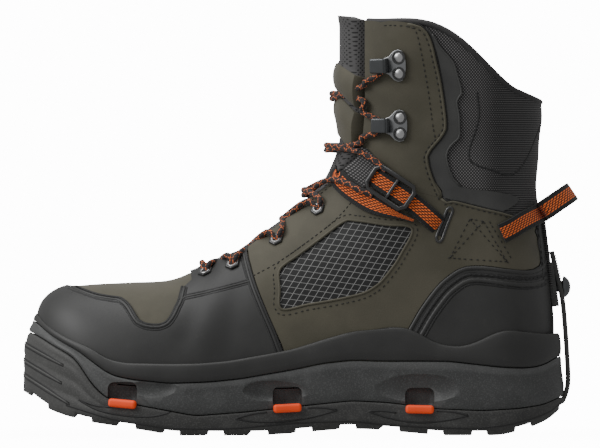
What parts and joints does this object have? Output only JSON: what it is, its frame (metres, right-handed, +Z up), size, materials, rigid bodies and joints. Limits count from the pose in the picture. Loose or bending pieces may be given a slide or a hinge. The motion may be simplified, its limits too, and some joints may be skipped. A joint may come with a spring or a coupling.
{
  "type": "wading boot",
  "caption": "Left lace-up wading boot with olive and black panels, rubber toe and heel, and a clip-on lugged outsole.",
  "frame": {"origin": "centre of the boot's bounding box on the floor plane", "axes": "+X from heel to toe, +Y to the lateral (outer) side of the left foot, +Z up"},
  "size_m": [0.3274, 0.1202, 0.2471],
  "materials": {
    "olive_fabric": "matt woven, slightly coated",
    "dark_fabric": "matt ballistic weave",
    "dark_mesh": "open mesh, matt",
    "smooth_rubber": "smooth, low sheen",
    "sole_rubber": "matt, fine tread",
    "frame_rubber": "fine grain, matt",
    "orange_plastic": "smooth moulded",
    "black_plastic": "glossy moulded",
    "gunmetal": "dark plated",
    "webbing": "woven, orange on black",
    "lace_cord": "braided with orange flecks"
  },
  "bodies": {
    "root": {"outsole": "sole_rubber", "sole_frame": "frame_rubber", "midsole": "smooth_rubber", "insole": "dark_fabric", "upper": "dark_fabric", "tongue": "dark_mesh", "toe_cap": "smooth_rubber", "heel_counter": "smooth_rubber", "heel_post": "gunmetal", "heel_strap": "sole_rubber", "heel_pull_loop": "webbing", "quarter_lateral": "olive_fabric", "mesh_window_lateral": "dark_mesh", "shaft_panel_lateral": "olive_fabric", "gusset_lateral": "dark_fabric", "ankle_strap_lateral": "webbing", "ankle_strand_lateral": "webbing", "strap_adjuster_lateral": "black_plastic", "eyelet_lateral_1": "black_plastic", "eyelet_lateral_2": "black_plastic", "eyelet_lateral_3": "black_plastic", "eyelet_lateral_4": "black_plastic", "lace_hook_lateral_1": "gunmetal", "lace_hook_lateral_2": "gunmetal", "lock_tab_lateral_1": "orange_plastic", "lock_tab_lateral_2": "orange_plastic", "lock_tab_lateral_3": "orange_plastic", "quarter_medial": "olive_fabric", "mesh_window_medial": "dark_mesh", "shaft_panel_medial": "olive_fabric", "gusset_medial": "dark_fabric", "ankle_strap_medial": "webbing", "ankle_strand_medial": "webbing", "strap_adjuster_medial": "black_plastic", "eyelet_medial_1": "black_plastic", "eyelet_medial_2": "black_plastic", "eyelet_medial_3": "black_plastic", "eyelet_medial_4": "black_plastic", "lace_hook_medial_1": "gunmetal", "lace_hook_medial_2": "gunmetal", "lock_tab_medial_1": "orange_plastic", "lock_tab_medial_2": "orange_plastic", "lock_tab_medial_3": "orange_plastic", "lace_bar_1": "lace_cord", "lace_bar_2": "lace_cord", "lace_bar_3": "lace_cord", "lace_bar_4": "lace_cord", "lace_bar_5": "lace_cord", "lace_bar_6": "lace_cord", "lace_bar_7": "lace_cord"}
  },
  "joints": []
}
